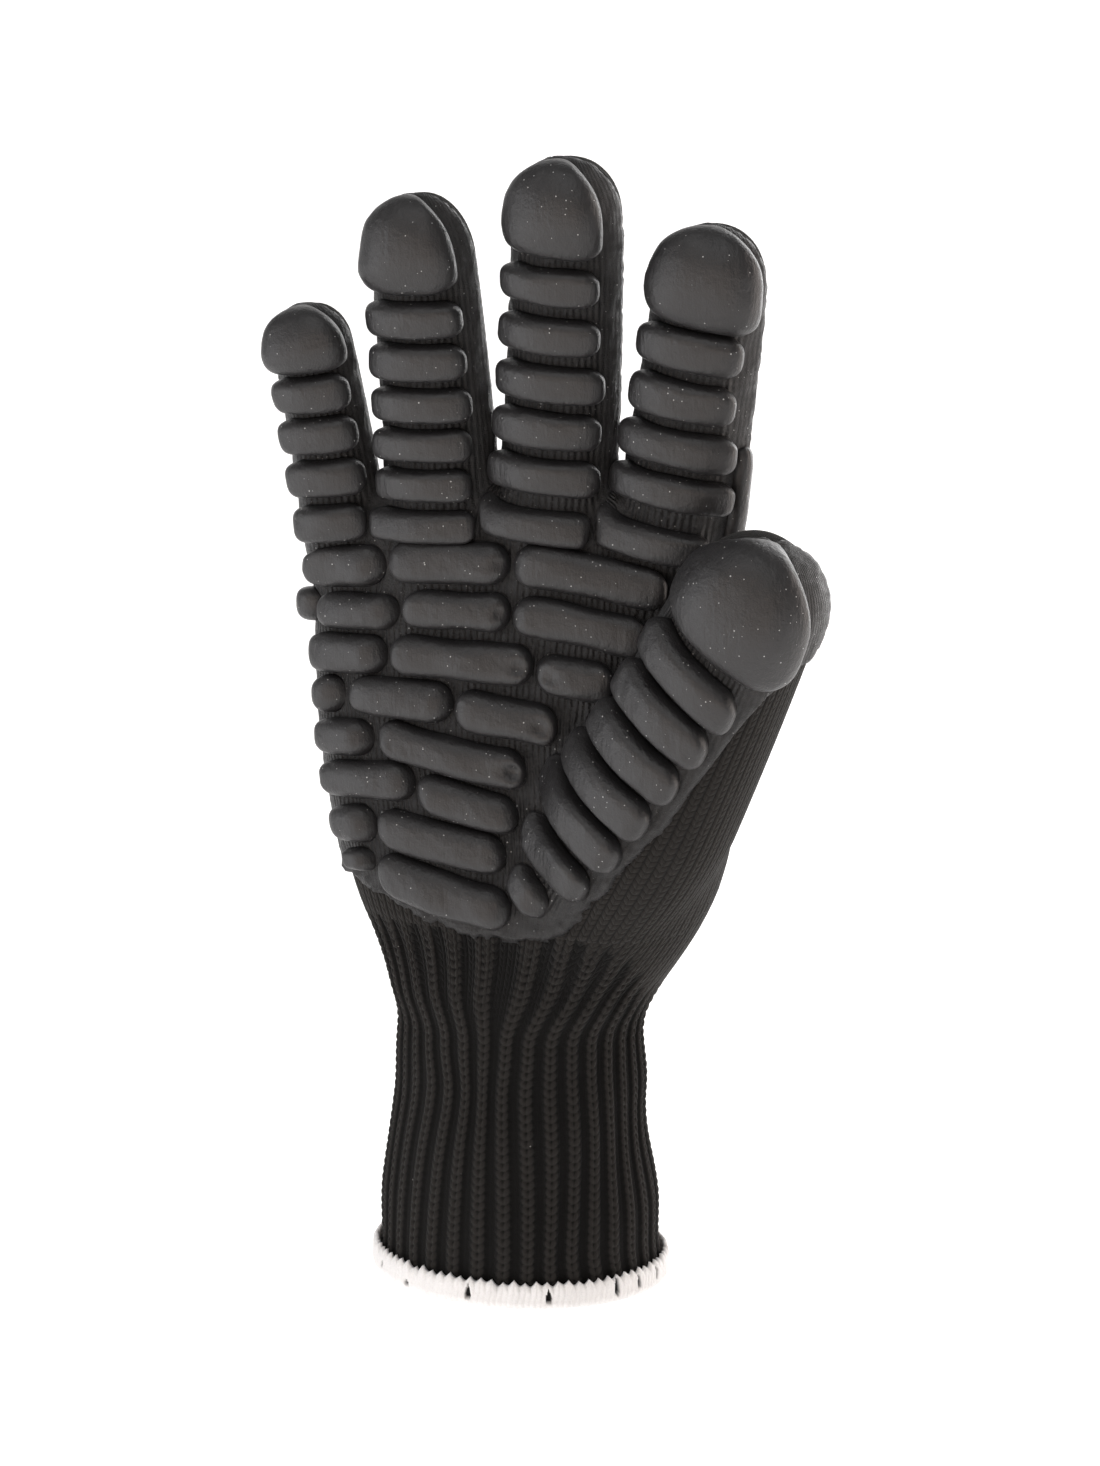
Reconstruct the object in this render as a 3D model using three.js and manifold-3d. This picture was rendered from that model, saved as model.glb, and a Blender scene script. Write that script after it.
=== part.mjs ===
// Anti vibration work glove for the right hand, in the form that it has when worn. Millimetres, Z up.
// The fingers point up, the palm faces -Y and the thumb is on the +X side.
// The origin is the middle of the cuff's mouth, at the lower face of the white hem.

import * as THREE from "three";
import { mergeVertices } from "three/addons/utils/BufferGeometryUtils.js";
import Module from "manifold-3d";

const wasm = await Module();
wasm.setup();

// Knit: the thickness of the hand and of the ribbed cuff
const handWall = 1.8;
const cuffWall = 2.2;
const ribCount = 35;
const ribDepth = 0.8;

// Cuff: mouth and wrist are measured over the ribs
const cuffLength = 62;
const mouthWidth = 71;
const mouthDepth = 56;
const wristWidth = 61;
const wristDepth = 42;

// Hem: a white overlocked edge that wraps the end of the cuff
const hemHeight = 6;
const hemWall = 1.3;
const hemFloor = 1.4;

// Hand: from the wrist joint to the knuckles
const palmLength = 120;
const palmWidth = 101;
const palmDepth = 23;
const knuckleCrown = 12;

// Fingers and thumb, each measured along its middle line from its root inside the hand
const littleLength = 70;
const ringLength = 94;
const middleLength = 100.5;
const indexLength = 90;
const thumbLength = 117;
const littleWidth = 19.5;
const ringWidth = 23.5;
const middleWidth = 24.5;
const indexWidth = 25.5;
const thumbWidth = 46;
const fingerRoot = 2;
const thumbRoot = 4;

// Rubber: the coat over the palm side and the foam pads moulded on it
const coatThickness = 1.2;
const padRise = 4.2;
const tipRise = 4.6;
const thumbRise = 4.8;
const barTall = 8.6;

// Clearances between pieces that touch
const fitGap = 0.3;
const coatTrim = 5;
const padSeat = 0.5;
const padTrim = 0.2;
const tipSeat = 0.6;

const coatTop = fitGap + coatThickness;
const radians = THREE.MathUtils.degToRad;
const mix = THREE.MathUtils.lerp;

// Finishes
const black = (colour, roughness) => new THREE.MeshStandardMaterial({ color: colour, roughness, metalness: 0 });
const knitFinish = black(0x22201d, 0.95);
const coatFinish = black(0x2b2b2d, 0.55);
const padFinish = black(0x3a3a3c, 0.7);
const hemFinish = black(0xe8e8e6, 0.9);

// Sections of the hand, from the wrist up.
// up: share of palmLength; middle: share of palmWidth towards the thumb;
// wide, front, back: 0 is the wrist's half size and 1 the knuckles'.
const handSections = [
  { up: 0, middle: 0, wide: 0, front: 0, back: 0.08 },
  { up: 0.083, middle: 0.012, wide: 0.12, front: 0, back: 0.2 },
  { up: 0.167, middle: 0.034, wide: 0.37, front: 0.06, back: 0.42 },
  { up: 0.267, middle: 0.034, wide: 0.7, front: 0.17, back: 0.6 },
  { up: 0.417, middle: 0.015, wide: 0.85, front: 0.41, back: 0.78 },
  { up: 0.608, middle: 0.006, wide: 0.93, front: 0.7, back: 0.9 },
  { up: 0.817, middle: 0.015, wide: 1, front: 0.88, back: 0.92 },
  { up: 1, middle: 0.03, wide: 0.98, front: 1, back: 1 },
];

// Fingers. side, up, fore: the root, as shares of half the palm's width, its length and half its depth.
// deep: root depth as a share of the root width; slim: size at the tip as a share of the root's.
// crown: the round end, as a share of the root width. lean, tilt, curl, roll in degrees.
// neck: the share of the length over which the root swells from its narrow end, pinch: that end's size.
const limbs = {
  little: { length: littleLength, width: littleWidth, side: -0.8, up: 0.867, fore: 0, deep: 0.95, slim: 0.83,
    crown: 0.48, lean: -5.5, tilt: 2, curl: 16, roll: 0, neck: 0.3, pinch: 0.78 },
  ring: { length: ringLength, width: ringWidth, side: -0.352, up: 0.883, fore: 0, deep: 0.9, slim: 0.86,
    crown: 0.48, lean: -1, tilt: 2, curl: 17, roll: 0, neck: 0.1, pinch: 1 },
  middle: { length: middleLength, width: middleWidth, side: 0.168, up: 0.9, fore: 0, deep: 0.9, slim: 0.89,
    crown: 0.5, lean: 5, tilt: 2, curl: 17, roll: 0, neck: 0.1, pinch: 1 },
  index: { length: indexLength, width: indexWidth, side: 0.743, up: 0.883, fore: 0, deep: 0.88, slim: 0.87,
    crown: 0.48, lean: 9.3, tilt: 2, curl: 15, roll: 0, neck: 0.3, pinch: 0.78 },
  thumb: { length: thumbLength, width: thumbWidth, side: 0.337, up: 0.183, fore: 0.64, deep: 0.826, slim: 0.64,
    crown: 0.33, lean: 28.5, tilt: 6, curl: 12, roll: -16, neck: 0.36, pinch: 0.45 },
};
const fingerSquare = 2.2;
const handSquare = 2.5;

// A place round a section: 0 is the middle of the palm side, 1 and -1 the two edges,
// and past them it goes on round the back. The section is a superellipse of the given exponent.
function roundAngle(across, square) {
  const size = Math.abs(across);
  const quarter = Math.asin(Math.pow(size > 1 ? 2 - size : size, square / 2));
  return Math.sign(across) * (size > 1 ? Math.PI - quarter : quarter);
}
function roundSection(angle, square) {
  const power = 2 / square;
  const side = Math.sign(Math.sin(angle)) * Math.pow(Math.abs(Math.sin(angle)), power);
  const front = Math.sign(Math.cos(angle)) * Math.pow(Math.abs(Math.cos(angle)), power);
  return { side, front };
}

// A finger or the thumb bends evenly along its length and ends in a round crown.
class Limb {
  constructor(row) {
    Object.assign(this, row);
    const [lean, tilt, roll] = [row.lean, row.tilt, row.roll].map(radians);
    const palmar = new THREE.Vector3(
      -Math.sin(lean) * Math.sin(tilt),
      -Math.cos(tilt),
      -Math.cos(lean) * Math.sin(tilt),
    );
    const sideways = new THREE.Vector3(Math.cos(lean), 0, -Math.sin(lean));
    this.along = new THREE.Vector3(
      Math.sin(lean) * Math.cos(tilt),
      -Math.sin(tilt),
      Math.cos(lean) * Math.cos(tilt),
    );
    this.palmar = palmar.clone().multiplyScalar(Math.cos(roll)).addScaledVector(sideways, Math.sin(roll));
    this.sideways = sideways.clone().multiplyScalar(Math.cos(roll)).addScaledVector(palmar, -Math.sin(roll));
    this.root = new THREE.Vector3(
      row.side * palmWidth / 2,
      -row.fore * palmDepth / 2,
      cuffLength + row.up * palmLength,
    );
    this.bend = radians(row.curl) / row.length;
    this.dome = row.crown * row.width;
    this.straight = row.length - this.dome;
    this.square = fingerSquare;
  }
  end(height) {
    return this.straight + (this.dome + height) * Math.PI / 2;
  }
  // distance: mm over the palm side from the root, angle: round the section, height: mm above the knit
  point(distance, angle, height) {
    const reach = this.dome + height;
    const turn = THREE.MathUtils.clamp((distance - this.straight) / reach, 0, Math.PI / 2);
    const middle = distance < this.straight ? distance : this.straight + reach * Math.sin(turn);
    const shrink = Math.pow(Math.cos(turn), 0.92);
    const bent = this.bend * middle;
    const swell = Math.sin(THREE.MathUtils.clamp(middle / this.length / this.neck, 0, 1) * Math.PI / 2);
    const taper = mix(1, this.slim, middle / this.length) * mix(this.pinch, 1, swell);
    const halfWidth = this.width / 2 * taper + height;
    const halfDepth = this.width * this.deep / 2 * taper + height;
    const { side, front } = roundSection(angle, this.square);
    const towards = this.palmar.clone().multiplyScalar(Math.cos(bent)).addScaledVector(this.along, -Math.sin(bent));
    return this.root.clone()
      .addScaledVector(this.along, Math.sin(bent) / this.bend)
      .addScaledVector(this.palmar, (1 - Math.cos(bent)) / this.bend)
      .addScaledVector(this.sideways, shrink * halfWidth * side)
      .addScaledVector(towards, shrink * halfDepth * front);
  }
}

// The hand itself: a flat section that narrows and thickens towards the wrist, closed by a low crown.
class Hand {
  constructor() {
    this.straight = palmLength;
    this.square = handSquare;
  }
  end(height) {
    return this.straight + (knuckleCrown + height) * Math.PI / 2;
  }
  section(distance) {
    const up = THREE.MathUtils.clamp(distance / palmLength, 0, 1);
    const above = Math.max(1, handSections.findIndex((row) => row.up >= up));
    const [low, high] = [handSections[above - 1], handSections[above]];
    const share = (up - low.up) / (high.up - low.up);
    const blend = (column) => mix(low[column], high[column], share);
    return {
      middle: blend("middle") * palmWidth,
      halfWidth: mix(wristWidth, palmWidth, blend("wide")) / 2,
      front: mix(wristDepth, palmDepth, blend("front")) / 2,
      back: mix(wristDepth, palmDepth, blend("back")) / 2,
    };
  }
  point(distance, angle, height) {
    const reach = knuckleCrown + height;
    const turn = THREE.MathUtils.clamp((distance - this.straight) / reach, 0, Math.PI / 2);
    const up = distance < this.straight ? distance : this.straight + reach * Math.sin(turn);
    const shrink = Math.pow(Math.cos(turn), 0.6);
    const { middle, halfWidth, front, back } = this.section(distance);
    const shape = roundSection(angle, this.square);
    const depth = (shape.front > 0 ? front : back) + height;
    return new THREE.Vector3(
      middle + shrink * (halfWidth + height) * shape.side,
      -shrink * depth * shape.front,
      cuffLength + up,
    );
  }
}

const hand = new Hand();
const little = new Limb(limbs.little);
const ring = new Limb(limbs.ring);
const middle = new Limb(limbs.middle);
const index = new Limb(limbs.index);
const thumb = new Limb(limbs.thumb);

// Skins a row of loops, each with as many points as the next, and closes both ends with a fan,
// or joins the last loop to the first when it goes all the way round.
function skin(loops, closed = false) {
  const size = loops[0].length;
  const points = loops.flat();
  const faces = [];
  const spans = closed ? loops.length : loops.length - 1;
  for (let i = 0; i < spans; i += 1) {
    const next = (i + 1) % loops.length;
    for (let j = 0; j < size; j += 1) {
      const turn = (j + 1) % size;
      faces.push([i * size + j, i * size + turn, next * size + turn]);
      faces.push([i * size + j, next * size + turn, next * size + j]);
    }
  }
  if (!closed) {
    const centre = (loop) => loop.reduce((sum, p) => sum.add(p), new THREE.Vector3()).divideScalar(size);
    const last = (loops.length - 1) * size;
    points.push(centre(loops[0]), centre(loops[loops.length - 1]));
    for (let j = 0; j < size; j += 1) {
      const turn = (j + 1) % size;
      faces.push([turn, j, points.length - 2]);
      faces.push([last + j, last + turn, points.length - 1]);
    }
  }
  const geometry = new THREE.BufferGeometry().setFromPoints(points);
  geometry.setIndex(faces.flat());
  return volume(geometry) < 0 ? flipped(geometry) : geometry;
}
function volume(geometry) {
  const position = geometry.attributes.position;
  const corners = geometry.index.array;
  const [a, b, c] = [new THREE.Vector3(), new THREE.Vector3(), new THREE.Vector3()];
  let sum = 0;
  for (let i = 0; i < corners.length; i += 3) {
    a.fromBufferAttribute(position, corners[i]);
    b.fromBufferAttribute(position, corners[i + 1]);
    c.fromBufferAttribute(position, corners[i + 2]);
    sum += a.dot(b.cross(c)) / 6;
  }
  return sum;
}
function flipped(geometry) {
  const corners = geometry.index.array;
  for (let i = 0; i < corners.length; i += 3) {
    [corners[i], corners[i + 1]] = [corners[i + 1], corners[i]];
  }
  return geometry;
}

// Joining and cutting
function solid(geometry) {
  const merged = mergeVertices(geometry, 1e-4);
  return new wasm.Manifold(new wasm.Mesh({
    numProp: 3,
    vertProperties: new Float32Array(merged.attributes.position.array),
    triVerts: new Uint32Array(merged.index.array),
  }));
}
function shape(manifold) {
  const mesh = manifold.getMesh();
  const geometry = new THREE.BufferGeometry();
  geometry.setAttribute("position", new THREE.BufferAttribute(new Float32Array(mesh.vertProperties), 3));
  geometry.setIndex(Array.from(mesh.triVerts));
  return geometry;
}
const joined = (geometries) => geometries.map(solid).reduce((sum, next) => sum.add(next));

// One whole limb as a closed solid, its skin the given height above the knit (below it where negative)
function wholeLimb(limb, height, sides, steps, start) {
  const rise = [0, 0.4, 0.78].map((share) => limb.straight + share * (limb.end(height) - limb.straight));
  const straight = Array.from({ length: steps }, (_, i) => mix(start, limb.straight, i / steps));
  return skin([...straight, ...rise].map((distance) => Array.from({ length: sides }, (_, j) =>
    limb.point(distance, (j + 0.5) / sides * 2 * Math.PI, height))));
}
function wholeHand(height, sides, start) {
  const straight = handSections.map((row) => (row.up > 0 ? row.up * palmLength : start));
  const crown = [0.4, 0.75].map((share) => palmLength + share * (hand.end(height) - palmLength));
  return skin([...straight, ...crown].map((distance) => Array.from({ length: sides }, (_, j) =>
    hand.point(distance, (j + 0.5) / sides * 2 * Math.PI, height))));
}
function wholeGlove(height, start, { handSides, fingerSides, steps }) {
  return joined([
    wholeHand(height, handSides, start),
    ...[little, ring, middle, index].map((finger) => wholeLimb(finger, height, fingerSides, steps, fingerRoot)),
    wholeLimb(thumb, height, fingerSides + 2, steps + 1, thumbRoot),
  ]);
}
const outsideFacets = { handSides: 20, fingerSides: 12, steps: 3 };
const insideFacets = { handSides: 16, fingerSides: 8, steps: 2 };

// Knitted hand: one hollow piece, open at the wrist
const knitHand = wholeGlove(0, 0, outsideFacets).subtract(wholeGlove(-handWall, -fitGap, insideFacets));

// A column of a table between its rows, level beyond the first and the last
function follow(table, key, value, column) {
  const above = Math.max(1, table.findIndex((row) => row[key] >= value));
  const [low, high] = [table[above - 1], table[above]];
  return mix(low[column], high[column], THREE.MathUtils.clamp((value - low[key]) / (high[key] - low[key]), 0, 1));
}

// Ribbed cuff: its outside has a groove between each two ribs, its inside is smooth.
// up: share of cuffLength; wide, deep: 0 is the wrist's size and 1 the mouth's.
const cuffSections = [
  { up: 0, wide: 1, deep: 1 },
  { up: 0.33, wide: 0.8, deep: 0.72 },
  { up: 0.72, wide: 0.22, deep: 0.22 },
  { up: 1, wide: 0, deep: 0 },
];
function cuffPoint(turn, height, up) {
  const share = THREE.MathUtils.clamp(up / cuffLength, 0, 1);
  const halfWidth = mix(wristWidth, mouthWidth, follow(cuffSections, "up", share, "wide")) / 2 + height;
  const halfDepth = mix(wristDepth, mouthDepth, follow(cuffSections, "up", share, "deep")) / 2 + height;
  return new THREE.Vector3(halfWidth * Math.sin(turn), -halfDepth * Math.cos(turn), up);
}
function ribbedCuff() {
  const points = ribCount * 3;
  const seat = hemFloor + fitGap;
  const loop = (share, side) => Array.from({ length: points }, (_, i) => {
    const height = side === "inside" ? -cuffWall : (i % 3 === 0 ? -ribDepth : 0);
    return cuffPoint(i / points * 2 * Math.PI, height, mix(seat, cuffLength - fitGap, share));
  });
  const outside = [0, 0.32, 0.7, 1].map((share) => loop(share, "outside"));
  const inside = [1, 0].map((share) => loop(share, "inside"));
  return skin([...outside, ...inside], true);
}

// Hem: a channel that takes the cuff's end between its two walls
function hemRing() {
  const outer = fitGap + hemWall;
  const inner = -cuffWall - fitGap - hemWall;
  const profile = [
    [inner, 0.25 * hemHeight], [inner + 0.4 * hemWall, 0], [outer - 0.4 * hemWall, 0], [outer, 0.25 * hemHeight],
    [outer, hemHeight], [fitGap, hemHeight], [fitGap, hemFloor], [-cuffWall - fitGap, hemFloor],
    [-cuffWall - fitGap, 0.9 * hemHeight], [inner, 0.9 * hemHeight],
  ];
  return skin(Array.from({ length: ribCount }, (_, i) =>
    profile.map(([height, up]) => cuffPoint(i / ribCount * 2 * Math.PI, height, up))), true);
}

// Rubber coat: the palm side of every limb, clear of the knit, down to a lower edge that dips in the
// middle of the palm and rises over the ball of the thumb.
// across: place round the hand; up: share of palmLength
const coatHem = [
  { across: -1, up: 0.32 },
  { across: -0.55, up: 0.24 },
  { across: -0.1, up: 0.19 },
  { across: 0.1, up: 0.19 },
  { across: 0.4, up: 0.28 },
  { across: 1, up: 0.54 },
];
// The thumb's coat reaches less far round at its root. up: share of thumbLength
const thumbCoatEdge = [
  { up: 0.06, across: 0.1 },
  { up: 0.4, across: 0.6 },
  { up: 0.75, across: 0.95 },
  { up: 1, across: 1 },
];
const fingerCoatEdge = 0.98;
// Half a limb as a solid: its round side is the coat's outer face, its flat side lies inside the limb
function palmSide(limb, distances, left, right, columns) {
  return skin(distances.map((distance) => Array.from({ length: columns }, (_, j) => {
    const from = roundAngle(left(distance), limb.square);
    const to = roundAngle(right(distance), limb.square);
    return limb.point(distance, mix(from, to, j / (columns - 1)), coatTop);
  })));
}
function fingerSide(limb, right) {
  const crown = [0, 0.4, 0.78].map((share) => mix(limb.straight, limb.end(coatTop), share));
  const straight = [0.06, 0.36, 0.68].map((share) => share * limb.straight);
  return palmSide(limb, [...straight, ...crown], () => -fingerCoatEdge, right, 8);
}
function handSide() {
  const columns = 12;
  const steps = [0, 0.25, 0.5, 0.75, 1];
  const angles = Array.from({ length: columns }, (_, j) => mix(-0.52, 0.52, j / (columns - 1)) * Math.PI);
  const low = (angle) => follow(coatHem, "across", roundSection(angle, handSquare).side, "up") * palmLength;
  const crown = [0.4, 0.75].map((share) => mix(palmLength, hand.end(coatTop), share));
  const loops = steps.map((step) => angles.map((angle) =>
    hand.point(mix(low(angle), palmLength, step), angle, coatTop)));
  const cap = crown.map((distance) => angles.map((angle) => hand.point(distance, angle, coatTop)));
  return skin([...loops, ...cap]);
}
const coatBlank = joined([
  handSide(),
  ...[little, ring, middle, index].map((finger) => fingerSide(finger, () => fingerCoatEdge)),
  fingerSide(thumb, (distance) => follow(thumbCoatEdge, "up", Math.min(1, distance / thumbLength), "across")),
]);
const rubberCoat = coatBlank.subtract(wholeGlove(fitGap, -coatTrim, outsideFacets));

// Foam pads. A pad is a bar with round ends and soft edges, laid across a limb.
// from, to: its ends, as places round the section; left, right: mm up the limb at each end.
const barProfile = [[-1, 0], [-1, 0.5], [-0.6, 1], [0.6, 1], [1, 0.5], [1, 0]];
const tipProfile = [
  [-1, 0], [-1, 0.5], [-0.82, 1], [-0.42, 1], [0, 1], [0.42, 1], [0.8, 0.95], [1, 0.4],
  [1, 0], [0.6, 0], [0.2, 0], [-0.2, 0], [-0.6, 0],
];
const barStations = [
  { share: 0, tall: 0.5, high: 0.45 },
  { share: 0.07, tall: 0.9, high: 0.95 },
  { share: 0.28, tall: 1, high: 1 },
  { share: 0.5, tall: 1, high: 1 },
  { share: 0.72, tall: 1, high: 1 },
  { share: 0.93, tall: 0.9, high: 0.95 },
  { share: 1, tall: 0.5, high: 0.45 },
];
const palmStations = barStations.filter((station) => station.share !== 0.5);
// Where another limb swells into it, as at the roots of the fingers, the pad is trimmed clear of it.
const padFloor = wholeGlove(coatTop + padTrim, 0, { handSides: 28, fingerSides: 18, steps: 6 });
function padBlock(limb, { from, to, left, right, tall, rise, seat = padSeat, profile = barProfile }) {
  const stations = limb === hand ? palmStations : barStations;
  return solid(skin(stations.map((station) => {
    const angle = mix(roundAngle(from, limb.square), roundAngle(to, limb.square), station.share);
    const place = mix(left, right, station.share);
    return profile.map(([along, up]) => limb.point(
      place + along * station.tall * tall / 2,
      angle,
      coatTop + seat + up * station.high * rise,
    ));
  })));
}
const pad = (limb, row) => shape(padBlock(limb, row).subtract(padFloor));

// Bars across each finger, from the tip down. at: share of the finger's length; tall: share of barTall
const fingerBars = {
  little: [
    { at: 0.734, tall: 0.95, from: -0.8, to: 0.78 },
    { at: 0.587, tall: 0.95, from: -0.8, to: 0.78 },
    { at: 0.434, tall: 0.97, from: -0.78, to: 0.78 },
    { at: 0.273, tall: 0.98, from: -0.78, to: 0.7 },
  ],
  ring: [
    { at: 0.73, tall: 1.06, from: -0.8, to: 0.75 },
    { at: 0.62, tall: 1.02, from: -0.8, to: 0.75 },
    { at: 0.503, tall: 0.94, from: -0.8, to: 0.77 },
    { at: 0.398, tall: 0.9, from: -0.8, to: 0.74 },
    { at: 0.292, tall: 0.88, from: -0.8, to: 0.7 },
    { at: 0.185, tall: 0.88, from: -0.86, to: 0.7 },
  ],
  middle: [
    { at: 0.749, tall: 1.08, from: -0.82, to: 0.7 },
    { at: 0.635, tall: 1.1, from: -0.82, to: 0.7 },
    { at: 0.52, tall: 1.12, from: -0.83, to: 0.72 },
    { at: 0.409, tall: 1.06, from: -0.84, to: 0.72 },
    { at: 0.301, tall: 1.02, from: -0.86, to: 0.7 },
    { at: 0.172, tall: 0.95, from: -0.93, to: 0.62 },
  ],
  index: [
    { at: 0.706, tall: 1.1, from: -0.84, to: 0.68 },
    { at: 0.577, tall: 1.08, from: -0.85, to: 0.68 },
    { at: 0.456, tall: 1.06, from: -0.88, to: 0.72 },
    { at: 0.331, tall: 1.04, from: -0.92, to: 0.76 },
    { at: 0.186, tall: 1, from: -0.98, to: 0.67 },
  ],
};
// The pad over each fingertip. low: share of the finger's length; high: share of the way over the crown
const fingerTips = {
  little: { low: 0.825, high: 0.86, from: -0.8, to: 0.82 },
  ring: { low: 0.79, high: 0.86, from: -0.82, to: 0.8 },
  middle: { low: 0.815, high: 0.86, from: -0.82, to: 0.76 },
  index: { low: 0.77, high: 0.86, from: -0.86, to: 0.82 },
};
// Bars across the thumb. skew: how far the left end stands above the right, as a share of barTall
const thumbBars = [
  { at: 0.722, tall: 1.08, skew: 1.1, from: -0.72, to: 0.68 },
  { at: 0.62, tall: 1.1, skew: 0.75, from: -0.8, to: 0.58 },
  { at: 0.517, tall: 1.1, skew: 0.6, from: -0.85, to: 0.47 },
  { at: 0.416, tall: 1.08, skew: 0.5, from: -0.95, to: 0.38 },
  { at: 0.316, tall: 1.05, skew: 0.5, from: -0.95, to: 0.28 },
  { at: 0.216, tall: 1.02, skew: 0.3, from: -0.72, to: 0.17 },
  { at: 0.12, tall: 0.95, skew: 0.15, from: -0.55, to: -0.06 },
];
const thumbTip = { low: 0.785, high: 0.8, skew: 0.8, from: -0.74, to: 0.86 };

// Pads of the palm, row by row from the knuckles to the heel, each row from the little finger's side.
// left, right: height of each end as a share of palmLength; tall: share of barTall
const palmPads = [
  { row: "a", from: -0.99, to: -0.56, left: 0.924, right: 0.938, tall: 0.96 },
  { row: "a", from: -0.53, to: -0.01, left: 0.946, right: 0.949, tall: 0.9 },
  { row: "a", from: 0.03, to: 0.69, left: 0.952, right: 0.91, tall: 0.96 },
  { row: "b", from: -1.01, to: -0.91, left: 0.838, right: 0.846, tall: 0.84 },
  { row: "b", from: -0.87, to: -0.48, left: 0.842, right: 0.849, tall: 0.84 },
  { row: "b", from: -0.45, to: 0, left: 0.859, right: 0.86, tall: 0.86 },
  { row: "b", from: 0.04, to: 0.62, left: 0.854, right: 0.817, tall: 0.92 },
  { row: "c", from: -0.93, to: -0.53, left: 0.758, right: 0.768, tall: 0.98 },
  { row: "c", from: -0.5, to: 0.12, left: 0.768, right: 0.764, tall: 0.94 },
  { row: "c", from: 0.16, to: 0.5, left: 0.746, right: 0.726, tall: 0.95 },
  { row: "d", from: -0.91, to: -0.73, left: 0.671, right: 0.678, tall: 0.98 },
  { row: "d", from: -0.69, to: -0.23, left: 0.68, right: 0.682, tall: 0.88 },
  { row: "d", from: -0.19, to: 0.24, left: 0.674, right: 0.65, tall: 0.94 },
  { row: "e", from: -0.9, to: -0.59, left: 0.586, right: 0.598, tall: 0.9 },
  { row: "e", from: -0.54, to: 0.11, left: 0.596, right: 0.561, tall: 0.98 },
  { row: "f", from: -0.9, to: -0.41, left: 0.502, right: 0.518, tall: 0.92 },
  { row: "f", from: -0.37, to: 0.06, left: 0.5, right: 0.466, tall: 0.98 },
  { row: "g", from: -0.88, to: -0.64, left: 0.413, right: 0.426, tall: 0.9 },
  { row: "g", from: -0.6, to: -0.01, left: 0.424, right: 0.389, tall: 0.98 },
  { row: "h", from: -0.83, to: -0.68, left: 0.348, right: 0.352, tall: 0.5 },
  { row: "h", from: -0.64, to: 0.02, left: 0.338, right: 0.28, tall: 1.12 },
];

// Side strip: a narrow pad along the thumb side of the first finger
const sideStrip = { low: 0.17, high: 0.46, from: 0.85, to: 0.99 };

const group = new THREE.Group();
function place(name, geometry, finish) {
  const mesh = new THREE.Mesh(geometry, finish);
  mesh.name = name;
  group.add(mesh);
}

place("knit_hand", shape(knitHand), knitFinish);
place("rib_cuff", ribbedCuff(), knitFinish);
place("hem", hemRing(), hemFinish);
place("rubber_coat", shape(rubberCoat), coatFinish);

for (const [name, finger] of Object.entries({ little, ring, middle, index })) {
  const tip = fingerTips[name];
  const low = tip.low * finger.length;
  const high = mix(finger.straight, finger.end(coatTop), tip.high);
  const middleUp = (low + high) / 2;
  place(`pad_${name}_tip`, pad(finger, {
    ...tip, left: middleUp, right: middleUp, tall: high - low, rise: tipRise, seat: tipSeat, profile: tipProfile,
  }), padFinish);
  fingerBars[name].forEach((bar, i) => {
    const up = bar.at * finger.length;
    place(`pad_${name}_${i + 1}`, pad(finger, {
      ...bar, left: up, right: up, tall: bar.tall * barTall, rise: padRise,
    }), padFinish);
  });
}

const tipLow = thumbTip.low * thumbLength;
const tipHigh = mix(thumb.straight, thumb.end(coatTop), thumbTip.high);
const tipLean = thumbTip.skew * barTall / 2;
place("pad_thumb_tip", pad(thumb, {
  ...thumbTip,
  left: (tipLow + tipHigh) / 2 + tipLean,
  right: (tipLow + tipHigh) / 2 - tipLean,
  tall: tipHigh - tipLow,
  rise: thumbRise,
  seat: tipSeat,
  profile: tipProfile,
}), padFinish);
// One bar of the thumb, or the room that it takes when it is grown by a gap
function thumbBar(bar, gap = 0) {
  const up = bar.at * thumbLength;
  const lean = bar.skew * barTall / 2;
  return {
    ...bar, left: up + lean, right: up - lean, tall: bar.tall * barTall + 2 * gap, rise: thumbRise + gap,
  };
}
thumbBars.forEach((bar, i) => place(`pad_thumb_${i + 1}`, pad(thumb, thumbBar(bar)), padFinish));
const thumbRoom = thumbBars.map((bar) => padBlock(thumb, thumbBar(bar, fitGap))).reduce((sum, next) => sum.add(next));

// The palm's pads are trimmed clear of the thumb's
const rowCount = {};
for (const bar of palmPads) {
  rowCount[bar.row] = (rowCount[bar.row] ?? 0) + 1;
  const block = padBlock(hand, {
    ...bar,
    left: bar.left * palmLength,
    right: bar.right * palmLength,
    tall: bar.tall * barTall,
    rise: padRise,
  });
  place(`pad_palm_${bar.row}${rowCount[bar.row]}`, shape(block.subtract(padFloor).subtract(thumbRoom)), padFinish);
}

const stripUp = (sideStrip.low + sideStrip.high) / 2 * indexLength;
place("pad_index_side", pad(index, {
  ...sideStrip,
  left: stripUp,
  right: stripUp,
  tall: (sideStrip.high - sideStrip.low) * indexLength,
  rise: 0.6 * padRise,
}), padFinish);

export default group;
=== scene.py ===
import bpy
import numpy as np
from mathutils import Matrix, Vector


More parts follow.
